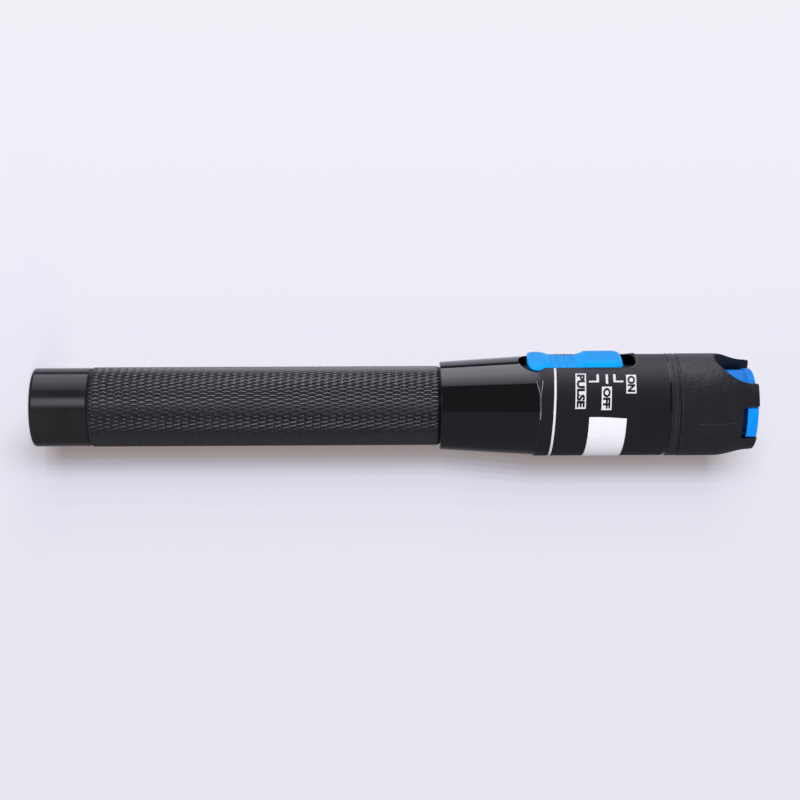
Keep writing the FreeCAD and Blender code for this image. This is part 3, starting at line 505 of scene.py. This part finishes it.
for piece, skin in ((film_fold("film_rear_fold", rear_fold, 0.3, 0.03), edge_skin),
                    (film_fold("film_lower_crease", lower_crease, 0.2, 0.07), crease_highlight_skin),
                    (film_fold("film_upper_crease", upper_crease, 0.16, 0.07), crease_highlight_skin),
                    (film_fold("film_window_fold", window_fold, 0.36, 0.1), lifted_rim_sheen_skin)):
    dress(piece, skin)
    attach(piece, "pen")

# ---- Printing on the film ---------------------------------------------------------------
# Screen-printed in white before the film is wrapped: a line right round it, three plates that
# name the switch positions, and a short leader from each plate to the knob.
PRINT_LIFT = 0.02
LETTER_LIFT = 0.035
LETTER_WEIGHT = 0.052
SIDE_MARGIN, END_MARGIN = 0.7, 0.62
BEND_STEP = 0.4


def printed_patch(name, areas, surface=on_film, lift=PRINT_LIFT):
    """Thin closed patches on a surface, each given by its first and last bearing and height."""
    points, faces = [], []
    for first, last, low, high in areas:
        count = max(1, round((last - first) / 2.0))
        faces.extend(loft_faces(count + 1, 4, len(points)))
        for row in range(count + 1):
            bearing = math.radians(first + (last - first) * row / count)
            for height, rise in ((low, 0.0), (high, 0.0), (high, lift), (low, lift)):
                points.append(surface(bearing, height, rise))
    return mesh_piece(name, points, faces, smooth=30)


def lettering(name, words, first, last, low, high):
    """Letters that read round the pen with their tops to the laser, bent to the film."""
    text = bpy.data.curves.new(name, "FONT")
    text.body = words
    text.offset = LETTER_WEIGHT
    text.resolution_u = 4
    holder = stand(name + "_flat", text)
    bpy.context.view_layer.update()
    flat = bpy.data.meshes.new_from_object(holder.evaluated_get(bpy.context.evaluated_depsgraph_get()))
    bpy.data.objects.remove(holder)
    shaped = bmesh.new()
    shaped.from_mesh(flat)
    xs = [v.co.x for v in shaped.verts]
    ys = [v.co.y for v in shaped.verts]
    wide = math.radians(last - first) * FILM_RADIUS - SIDE_MARGIN
    tall = high - low - END_MARGIN
    for v in shaped.verts:
        v.co.x = (v.co.x - min(xs)) / (max(xs) - min(xs)) * wide - wide / 2
        v.co.y = (v.co.y - min(ys)) / (max(ys) - min(ys)) * tall - tall / 2
    for cut in np.arange(-wide / 2 + BEND_STEP, wide / 2, BEND_STEP):
        bmesh.ops.bisect_plane(shaped, geom=shaped.verts[:] + shaped.edges[:] + shaped.faces[:],
                               plane_co=(cut, 0, 0), plane_no=(1, 0, 0))
    bmesh.ops.triangulate(shaped, faces=shaped.faces)
    points, faces = [], []
    middle = math.radians((first + last) / 2)
    count = len(shaped.verts)
    shaped.verts.index_update()
    for rise in (LETTER_LIFT, PRINT_LIFT * 0.5):
        for v in shaped.verts:
            bearing = middle + v.co.x / FILM_RADIUS
            points.append(on_film(bearing, (low + high) / 2 + v.co.y, rise))
    for f in shaped.faces:
        corners = [v.index for v in f.verts]
        faces.append(corners)
        faces.append([c + count for c in reversed(corners)])
    for e in shaped.edges:
        if len(e.link_faces) == 1:
            a, b = (v.index for v in e.verts)
            faces.append([a, b, b + count, a + count])
    shaped.free()
    return mesh_piece(name, points, faces, smooth=30)


white_ink = worked_finish("white_ink", (0.66, 0.665, 0.69), 0.5, grain=(1500, 1500, 1500),
                          uneven=0.05, depth=0.003)
black_ink = worked_finish("black_ink", (0.006, 0.006, 0.007), 0.5, grain=(1500, 1500, 1500),
                          uneven=0.2, depth=0.003)
window_edge = math.degrees(math.asin(WINDOW_HALF_WIDTH / FILM_RADIUS))
line = [(window_edge + 0.4, 359.6 - window_edge, 130.42, 130.98)]
prints = [(printed_patch("printed_line", line), white_ink)]
plates = [("plate_pulse", "PULSE", 26.8, 68.4, 135.7, 138.33),
          ("plate_off", "OFF", 43.6, 69.8, 142.22, 144.7),
          ("plate_on", "ON", 28.8, 51.6, 148.3, 150.83)]
leaders = [("leader_pulse", [(28.0, 38.4, 140.94, 141.54), (36.4, 38.4, 139.0, 140.94)]),
           ("leader_off", [(28.2, 40.2, 143.22, 143.8)]),
           ("leader_on", [(28.0, 38.4, 145.1, 145.7), (36.4, 38.4, 145.7, 147.6)])]
for name, words, first, last, low, high in plates:
    prints.append((printed_patch(name, [(first, last, low, high)]), white_ink))
    prints.append((lettering(name + "_letters", words, first, last, low, high), black_ink))
for name, areas in leaders:
    prints.append((printed_patch(name, areas), white_ink))
for piece, ink in prints:
    dress(piece, ink)
    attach(piece, "pen")

# ---- Paper sticker ----------------------------------------------------------------------
# Blank white paper label stuck over the film below the plates, with the soft tone and fine
# fibres of coated paper.
paper = worked_finish("coated_paper", (0.75, 0.755, 0.79), 0.55, grain=(900, 900, 900), uneven=0.025,
                      depth=0.004, edge=0.04)
dress(node["rating_sticker"], paper)

# ---- Switch knob ------------------------------------------------------------------------
# Blue moulded slide with a satin skin: a round lip at the rear, a ribbed waist for the thumb
# and a raised block in front. Its corners are softly rounded.
def blue_moulding(name, edge, green):
    """Saturated blue plastic, lit a little from within, with a fine moulded grain and a painted highlight on
    its rounded corners.
    """
    material, tree, shader = start_finish(name, 0.42, index=1.2)
    shader.inputs["Subsurface Weight"].default_value = 0.12
    shader.inputs["Subsurface Radius"].default_value = (0.1, 0.4, 1.0)
    shader.inputs["Subsurface Scale"].default_value = 0.6 * MM
    place = put(tree, "TexCoord").outputs["Object"]
    cloud = put(tree, "TexNoise", {"Vector": place, "Scale": 350.0, "Detail": 3.0}).outputs["Fac"]
    dye = blend(tree, cloud, (0.004, green * 0.95, 0.8, 1), (0.005, green * 1.05, 0.86, 1))
    # Painted highlight: the rounded corners turn a lighter, paler blue, as where they catch the light.
    corner_highlight_dye = blend(tree, edge_mask(tree, edge + 0.12), dye, (0.03, green * 1.45, 0.92, 1))
    tree.links.new(corner_highlight_dye, shader.inputs["Base Color"])
    tree.links.new(spread_between(tree, cloud, 0.3, 0.7, 0.36, 0.48), shader.inputs["Roughness"])
    grain = put(tree, "TexNoise", {"Vector": place, "Scale": 4200.0}).outputs["Fac"]
    grain_over(tree, shader, grain, 0.3, 0.004, eased_normal(tree, edge, 8))
    return material


KNOB_BASE = 11.25
KNOB_CLEAR = 12.98
KNOB_CORE = 3.75
SLIDE_RADIUS = 4.95
SLIDE_LOW, SLIDE_HIGH = 10.45, 11.3
PLAN_RADIUS = 4.9
STEM_BACK = 6.5
SKIRT_STEPS = 5
knob_low, knob_high = (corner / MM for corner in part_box("switch_knob"))
# Distance from the rear end, half width, top, height of the side's shoulder and squareness.
KNOB_ROWS = ((0.0, 2.5, 13.0, 12.86, 2.0), (0.1, 3.2, 13.22, 12.72, 2.0), (0.35, 3.95, 13.42, 12.52, 2.0),
             (0.8, 4.55, 13.58, 12.32, 2.0), (1.5, 4.88, 13.66, 12.2, 2.05), (2.2, 4.95, 13.68, 12.16, 2.1),
             (3.0, 4.82, 13.64, 12.2, 2.15), (3.7, 4.45, 13.56, 12.25, 2.3), (4.3, 4.08, 13.42, 12.3, 2.5),
             (5.0, 3.86, 13.16, 12.2, 2.7), (5.8, 3.8, 12.9, 12.05, 2.9), (6.8, 3.8, 12.72, 11.95, 3.0),
             (9.0, 3.78, 12.62, 11.9, 3.0), (11.4, 3.78, 12.68, 11.9, 3.2), (12.4, 3.8, 12.86, 12.0, 3.4),
             (13.2, 3.8, 13.22, 12.2, 3.6), (13.9, 3.8, 13.6, 12.4, 3.8), (14.7, 3.8, 13.82, 12.5, 4.0),
             (16.0, 3.8, 13.88, 12.5, 4.0), (21.7, 3.8, 13.88, 12.5, 4.0), (22.5, 3.74, 13.8, 12.45, 3.6),
             (23.1, 3.58, 13.6, 12.3, 3.2), (23.55, 3.3, 13.22, 12.1, 2.8), (23.8, 3.0, 12.8, 11.9, 2.5),
             (23.9, 2.7, 12.4, 11.8, 2.4))
LIP_FADE = ((3.7, 1.0), (4.3, 0.75), (5.0, 0.0))
RIBS = (5.6, 7.6, 9.6, 11.6, 13.9)


def knob_section(rear):
    """Half width, top, shoulder, squareness and share of the lip, that far from the rear end."""
    places, *measures = zip(*KNOB_ROWS)
    section = [float(np.interp(rear, places, measure)) for measure in measures]
    return (*section, float(np.interp(rear, *zip(*LIP_FADE))))


def knob_relief(rear, across):
    """Rise of the thumb ribs and of the line along the block, in mm."""
    rise = 0.0
    for rib in RIBS:
        off = rear - rib - 0.07 * across - 0.018 * across ** 2
        rise += 0.1 * math.exp(-((off - 0.5) / 0.34) ** 2) - 0.2 * math.exp(-(off / 0.19) ** 2)
    if 14.6 < rear < 22.2:
        fade = min(1.0, (rear - 14.6) / 0.5, (22.2 - rear) / 0.5)
        rise -= fade * 0.09 * math.exp(-((across + 0.35) / 0.16) ** 2)
    return rise


def sculpted_knob():
    """Lofted body over a flat base that runs in the slot, and the hollow stem over the lever."""
    spots = np.concatenate([np.linspace(-1, 1, 41), np.linspace(-0.16, 0.04, 13)])
    spots = sorted(set(np.round(spots, 4)))
    stations = np.concatenate([[row[0] for row in KNOB_ROWS], np.arange(0.2, 23.8, 0.16)])
    stations = sorted(set(np.round(stations, 3)))
    points = []
    for rear in stations:
        half, top, shoulder, square, lip = knob_section(rear)
        plan = math.sqrt(max(PLAN_RADIUS ** 2 - max(SLIDE_RADIUS - rear, 0.0) ** 2, 1.0))
        inner = min(half, KNOB_CORE, plan)
        skirt = []
        for step in range(SKIRT_STEPS + 1):
            out = inner + (half - inner) * step / SKIRT_STEPS
            under = math.sqrt(KNOB_CLEAR ** 2 - out ** 2)
            plain = KNOB_BASE + (shoulder - KNOB_BASE) * step / SKIRT_STEPS
            skirt.append((out, under * lip + plain * (1 - lip)))
        flanks = []
        for hand in (1, -1):
            swell = knob_relief(rear, hand * half) * (1 - lip)
            flank = [(hand * inner, KNOB_BASE)]
            for step, (out, height) in enumerate(skirt):
                flank.append((hand * (out + swell * step / SKIRT_STEPS), height))
            flanks.append(flank)
        crest = []
        for spot in reversed(spots):
            out = math.sin(spot * math.pi / 2)
            crown = max(0.0, 1 - abs(out) ** square) ** (1 / square)
            relief = knob_relief(rear, half * out) * (1 - lip)
            height = shoulder + (top - shoulder) * crown + relief * crown
            crest.append((half * out + relief * (1 - crown) * math.copysign(1, out), height))
        loop = flanks[0] + crest + flanks[1][::-1]
        points.extend((x, -height, knob_low.z + rear) for x, height in loop)
    faces = loft_faces(len(stations), len(loop))
    outline = []
    for first, centre in ((0, knob_low.z + SLIDE_RADIUS), (180, knob_high.z - SLIDE_RADIUS)):
        for turn in range(first, first + 181, 9):
            angle = math.radians(turn)
            outline.append((SLIDE_RADIUS * math.cos(angle), centre - SLIDE_RADIUS * math.sin(angle)))
    faces.extend(loft_faces(2, len(outline), len(points)))
    for height in (SLIDE_LOW, SLIDE_HIGH):
        points.extend((x, -height, z) for x, z in outline)
    stem = knob_low.z + STEM_BACK
    faces.extend(loft_faces(4, 4, len(points)))
    for half, reach, height in ((1.9, 2.0, 10.5), (1.9, 2.0, 5.2), (1.0, 1.0, 5.2), (1.0, 1.0, 9.3)):
        corners = ((half, reach), (half, -reach), (-half, -reach), (-half, reach))
        points.extend((x, -height, stem + z) for x, z in corners)
    return mesh_piece("slide_knob", points, faces, smooth=50)


slide_knob = sculpted_knob()
dress(slide_knob, blue_moulding("blue_knob", 0.12, 0.34))
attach(slide_knob, "switch")
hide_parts("switch_knob")

# ---- Head guard -------------------------------------------------------------------------
# Glass-filled black moulding, matt and a little scuffed, pressed into the barrel round the
# adapter. Two scoops let the fingers reach the dust cap and two slots hold its tabs. The
# mould has left a fine parting line.
GUARD_RADIUS = 13.0
TAPER_START, TAPER_LENGTH = 172.1, 8.6
DRAWN_IN = 1.35


def on_guard(bearing, height, lift=0.0):
    """Point on the guard at an angle from the switch side towards +X."""
    taper = min(1.0, max(0.0, (height - TAPER_START) / TAPER_LENGTH))
    radius = GUARD_RADIUS - DRAWN_IN * taper ** 2 * (3 - 2 * taper) + lift
    return (radius * math.sin(bearing), -radius * math.cos(bearing), height)


guard_material, tree, shader = start_finish("matt_black_guard", 0.48, index=1.5)
place = put(tree, "TexCoord").outputs["Object"]
fine = put(tree, "TexNoise", {"Vector": place, "Scale": 2400.0, "Detail": 4.0}).outputs["Fac"]
flow = put(tree, "TexNoise", {"Vector": place, "Scale": 210.0, "Detail": 6.0,
                              "Roughness": 0.62}).outputs["Fac"]
lumps = put(tree, "TexNoise", {"Vector": place, "Scale": 900.0, "Detail": 2.0}).outputs["Fac"]
scuff = spread_between(tree, flow, 0.5, 0.72, 0.0, 1.0)
tone = blend(tree, scuff, (0.0105, 0.0102, 0.012, 1), (0.0135, 0.0132, 0.0153, 1))
# Painted highlight: the rounded edges of the petals, scoops and slots turn light grey, as where they catch
# the light.
edge_highlight_mask = put(tree, "Math", [edge_mask(tree, 0.3), spread_between(tree, flow, 0.35, 0.6, 0.3, 1.0)],
             operation="MULTIPLY").outputs[0]
tree.links.new(blend(tree, edge_highlight_mask, tone, (0.075, 0.074, 0.08, 1)), shader.inputs["Base Color"])
tree.links.new(spread_between(tree, flow, 0.35, 0.7, 0.44, 0.54), shader.inputs["Roughness"])
pits = put(tree, "Bump", {"Height": flow, "Strength": 0.4, "Distance": 0.04 * MM,
                          "Normal": eased_normal(tree, 0.4, 8)})
mottled = put(tree, "Math", [spread_between(tree, flow, 0.42, 0.6, 0.15, 1.0), lumps], operation="MULTIPLY")
lumpy = put(tree, "Bump", {"Height": mottled.outputs[0], "Strength": 1.0, "Distance": 0.2 * MM,
                           "Normal": pits.outputs["Normal"]})
grain_over(tree, shader, fine, 0.5, 0.006, lumpy.outputs["Normal"])
dress(node["head_guard"], guard_material)
PARTING = 86.5
SEAM_HALF_WIDTH = 0.35
SEAM_LIFT = 0.018
SEAM_GAP = 0.02
SEAM_BREAKS = (166.7, 170.0, 172.1, 173.2, 174.2, 175.2, 176.1)
seam = []
for low, high in zip(SEAM_BREAKS, SEAM_BREAKS[1:]):
    seam.append((PARTING - SEAM_HALF_WIDTH, PARTING + SEAM_HALF_WIDTH, low, high - SEAM_GAP))
seam.append((PARTING - 2.0, PARTING + 1.2, 173.5, 173.68))
parting_line = printed_patch("guard_parting_line", seam, on_guard, SEAM_LIFT)
dress(parting_line, worked_finish("seam_moulding", (0.03, 0.03, 0.033), 0.4, uneven=0.3, depth=0.006))
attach(parting_line, "pen")

# ---- Dust cap ---------------------------------------------------------------------------
# Push-on cap in the same blue as the knob. It keeps dust out of the sleeve, and its two tabs
# lie in the slots of the guard.
dress(node["dust_cap"], blue_moulding("blue_cap", 0.3, 0.25))

# ---- Studio -----------------------------------------------------------------------------
# The pen stands on a small round of pale floor that fades into a pale backdrop. A broad soft
# lamp faces its switch side and a small one the tail half of the side in view. Two fill lamps
# stand beyond the ends.
BACKDROP = (0.807, 0.796, 0.888, 1)
FLOOR_RADIUS = 0.08
FLOOR_DROP = 0.0002
VIEW_BEARING = math.radians(64)
TOWARDS = Vector((math.sin(VIEW_BEARING), -math.cos(VIEW_BEARING), 0))
UPWARDS = Vector((-math.cos(VIEW_BEARING), -math.sin(VIEW_BEARING), 0))
ALONG = Vector((0, 0, 1))
PEN_MIDDLE = Vector((0, 0, 0.09265))

floor_mesh = bpy.data.meshes.new("floor")
shaped = bmesh.new()
bmesh.ops.create_circle(shaped, cap_ends=True, segments=96, radius=FLOOR_RADIUS)
shaped.to_mesh(floor_mesh)
shaped.free()
floor = stand("floor", floor_mesh)
floor.location.z = -FLOOR_DROP
floor.visible_glossy = False
floor.visible_diffuse = False
floor.visible_shadow = False
floor_material, tree, shader = start_finish("pale_floor", 0.9)
place = put(tree, "TexCoord").outputs["Object"]
reach = put(tree, "VectorMath", [place], operation="LENGTH").outputs["Value"]
shader.inputs["Base Color"].default_value = BACKDROP
shader.inputs["Specular IOR Level"].default_value = 0.0
clear = put(tree, "BsdfTransparent")
fade = put(tree, "MixShader", [spread_between(tree, reach, 0.015, 0.07, 0.85, 1.0), shader.outputs[0],
                               clear.outputs[0]])
tree.links.new(fade.outputs[0], tree.nodes["Material Output"].inputs["Surface"])
dress(floor, floor_material)

world = bpy.data.worlds.new("backdrop")
bpy.context.scene.world = world
world.use_nodes = True
tree = world.node_tree
heading = put(tree, "TexCoord").outputs["Generated"]
near = put(tree, "VectorMath", [heading, tuple(TOWARDS)], operation="DOT_PRODUCT").outputs["Value"]
rise = put(tree, "VectorMath", [heading, tuple(UPWARDS)], operation="DOT_PRODUCT").outputs["Value"]
angle = put(tree, "Math", [rise, near], operation="ARCTAN2").outputs[0]
turned = spread_between(tree, angle, -math.pi, math.pi, 0.0, 1.0)
# Degrees from the camera side over the top, and how strong the light from there is.
LEVELS = ((-180, 0.3), (-150, 0.2), (-130, 0.14), (-100, 0.21), (-60, 0.26), (-19, 0.26), (-15, 0.11),
          (123, 0.11), (127, 0.85), (180, 0.9))
stops = [((degrees + 180) / 360, level * 0.99, level * 0.955, level * 1.13) for degrees, level in LEVELS]
studio = colour_ramp(tree, turned, stops)
# The backdrop that the camera sees is painted a little lighter towards the top of the view.
tones = [(0.0, 0.795, 0.79, 0.875), (0.28, 0.799, 0.803, 0.89), (0.5, 0.812, 0.803, 0.895),
         (0.59, 0.836, 0.825, 0.922), (0.705, 0.858, 0.847, 0.94), (0.83, 0.873, 0.863, 0.945),
         (1.0, 0.877, 0.871, 0.93)]
pale = colour_ramp(tree, spread_between(tree, rise, -0.22, 0.22, 0.0, 1.0), tones)
chosen = blend(tree, put(tree, "LightPath").outputs["Is Camera Ray"], studio, pale)
background = tree.nodes["Background"]
background.inputs["Strength"].default_value = 1.0
tree.links.new(chosen, background.inputs["Color"])


def lamp(name, place, look_at, across, length, power, spread, long_way):
    """Rectangular soft lamp that no camera sees; long_way is the direction of its length."""
    light = bpy.data.lights.new(name, "AREA")
    light.shape = "RECTANGLE"
    light.size, light.size_y = across, length
    light.energy = power
    light.spread = math.radians(spread)
    holder = stand(name, light)
    back = (place - look_at).normalized()
    right = long_way.cross(back).normalized()
    turn = Matrix((right, back.cross(right), back)).transposed().to_4x4()
    holder.matrix_world = Matrix.Translation(place) @ turn
    holder.visible_camera = False
    return holder


def around(degrees, distance):
    """Offset from the pen at an angle from the camera side over the top."""
    angle = math.radians(degrees)
    return TOWARDS * (distance * math.cos(angle)) + UPWARDS * (distance * math.sin(angle))


def across_lamp(light):
    """The tree of a lamp's light, the place across its width from 0 to 1, and its strength."""
    light.data.use_nodes = True
    tree = light.data.node_tree
    across = put(tree, "SeparateXYZ", [put(tree, "NewGeometry").outputs["Parametric"]]).outputs["X"]
    return tree, across, tree.nodes["Emission"].inputs["Strength"]


key = lamp("key_lamp", PEN_MIDDLE + around(81.1, 0.42) + ALONG * 0.01, PEN_MIDDLE,
           across=0.502, length=0.44, power=1.62, spread=170, long_way=ALONG)
tree, across, strength = across_lamp(key)
tree.links.new(spread_between(tree, across, 0.5, 1.0, 1.0, 0.28), strength)
for name, beyond in (("fill_lamp_tail", -0.62), ("fill_lamp_head", 0.62)):
    fill = lamp(name, PEN_MIDDLE + around(-15, 0.5) + ALONG * beyond, PEN_MIDDLE,
                across=0.5, length=0.3, power=2.4, spread=120, long_way=UPWARDS)
    fill.visible_glossy = False
side = lamp("side_lamp", PEN_MIDDLE + around(15, 0.5) - ALONG * 0.185, PEN_MIDDLE - ALONG * 0.085,
            across=0.27, length=0.17, power=0.42, spread=170, long_way=ALONG)
tree, across, strength = across_lamp(side)
offset = put(tree, "Math", [across, 0.5], operation="SUBTRACT").outputs[0]
from_middle = put(tree, "Math", [offset], operation="ABSOLUTE").outputs[0]
tree.links.new(spread_between(tree, from_middle, 0.15, 0.5, 1.0, 0.1), strength)
for light in (key, side):
    light.data.color = (1.0, 0.985, 1.11)

# The shade that the pen casts on the sheet behind it, as a soft clear tint on the front of a card.
SHADE_BEHIND = 0.016
corners = [ALONG * along + UPWARDS * down - TOWARDS * SHADE_BEHIND
           for along, down in ((-0.02, 0.0), (0.21, 0.0), (0.21, -0.06), (-0.02, -0.06))]
shade_mesh = bpy.data.meshes.new("shade")
shade_mesh.from_pydata([tuple(corner) for corner in corners], [], [(3, 2, 1, 0)])
shade = stand("shade", shade_mesh)
shade.visible_diffuse = False
shade.visible_glossy = False
shade.visible_transmission = False
shade.visible_shadow = False
shade_material, tree, shader = start_finish("soft_shade", 0.9)
tree.nodes.remove(shader)
place = put(tree, "TexCoord").outputs["Object"]
along = put(tree, "SeparateXYZ", [place]).outputs["Z"]
down = put(tree, "VectorMath", [place, tuple(-UPWARDS)], operation="DOT_PRODUCT").outputs["Value"]
edge = spread_between(tree, along, 0.1025, 0.1275, 0.0109, 0.0133)
below = put(tree, "Math", [down, edge], operation="SUBTRACT").outputs[0]
tints = [(0.0, 0.36, 0.31, 0.27), (0.06, 0.41, 0.37, 0.34), (0.11, 0.5, 0.475, 0.476),
         (0.155, 0.63, 0.605, 0.625), (0.2, 0.755, 0.735, 0.765), (0.26, 0.86, 0.85, 0.885),
         (0.39, 0.918, 0.915, 0.93), (0.55, 0.96, 0.955, 0.965), (1.0, 1, 1, 1)]
depth = colour_ramp(tree, spread_between(tree, below, 0.0, 0.032, 0.0, 1.0), tints, "EASE")
both = [spread_between(tree, along, -0.016, 0.004, 0.0, 1.0),
        spread_between(tree, along, 0.173, 0.192, 1.0, 0.0)]
ends = put(tree, "Math", both, operation="MULTIPLY").outputs[0]
turned_away = put(tree, "NewGeometry").outputs["Backfacing"]
front = put(tree, "Math", [1.0, turned_away], operation="SUBTRACT").outputs[0]
falling = spread_between(tree, down, 0.0, 0.0105, 0.0, 1.0)
soft = put(tree, "Math", [put(tree, "Math", [ends, falling], operation="MULTIPLY").outputs[0], 1.5],
           operation="POWER").outputs[0]
held = put(tree, "Math", [soft, front], operation="MULTIPLY").outputs[0]
clear = put(tree, "BsdfTransparent", [blend(tree, held, (1, 1, 1, 1), depth)])
tree.links.new(clear.outputs[0], tree.nodes["Material Output"].inputs["Surface"])
dress(shade, shade_material)

# ---- Camera -----------------------------------------------------------------------------
# It looks square at the side of the pen, between the switch and +X, with the laser end to the
# right, a touch high and turned a hair away.
CAMERA_DISTANCE = 0.45
LENS = 79.594
YAW = math.radians(1.065)
ROLL = math.radians(0.2664)
AIM_RISE = 0.00142
AIM_BACK = 0.00012
back = TOWARDS * math.cos(YAW) - ALONG * math.sin(YAW)
level = ALONG * math.cos(YAW) + TOWARDS * math.sin(YAW)
right = level * math.cos(ROLL) - UPWARDS * math.sin(ROLL)
upright = back.cross(right)
camera_data = bpy.data.cameras.new("camera")
camera_data.lens = LENS
camera_data.sensor_width = 36.0
camera = stand("camera", camera_data)
aim = PEN_MIDDLE + UPWARDS * AIM_RISE - ALONG * AIM_BACK
camera.matrix_world = (Matrix.Translation(aim + back * CAMERA_DISTANCE)
                       @ Matrix((right, upright, back)).transposed().to_4x4())
bpy.context.scene.camera = camera
bpy.context.scene.view_settings.view_transform = "Standard"
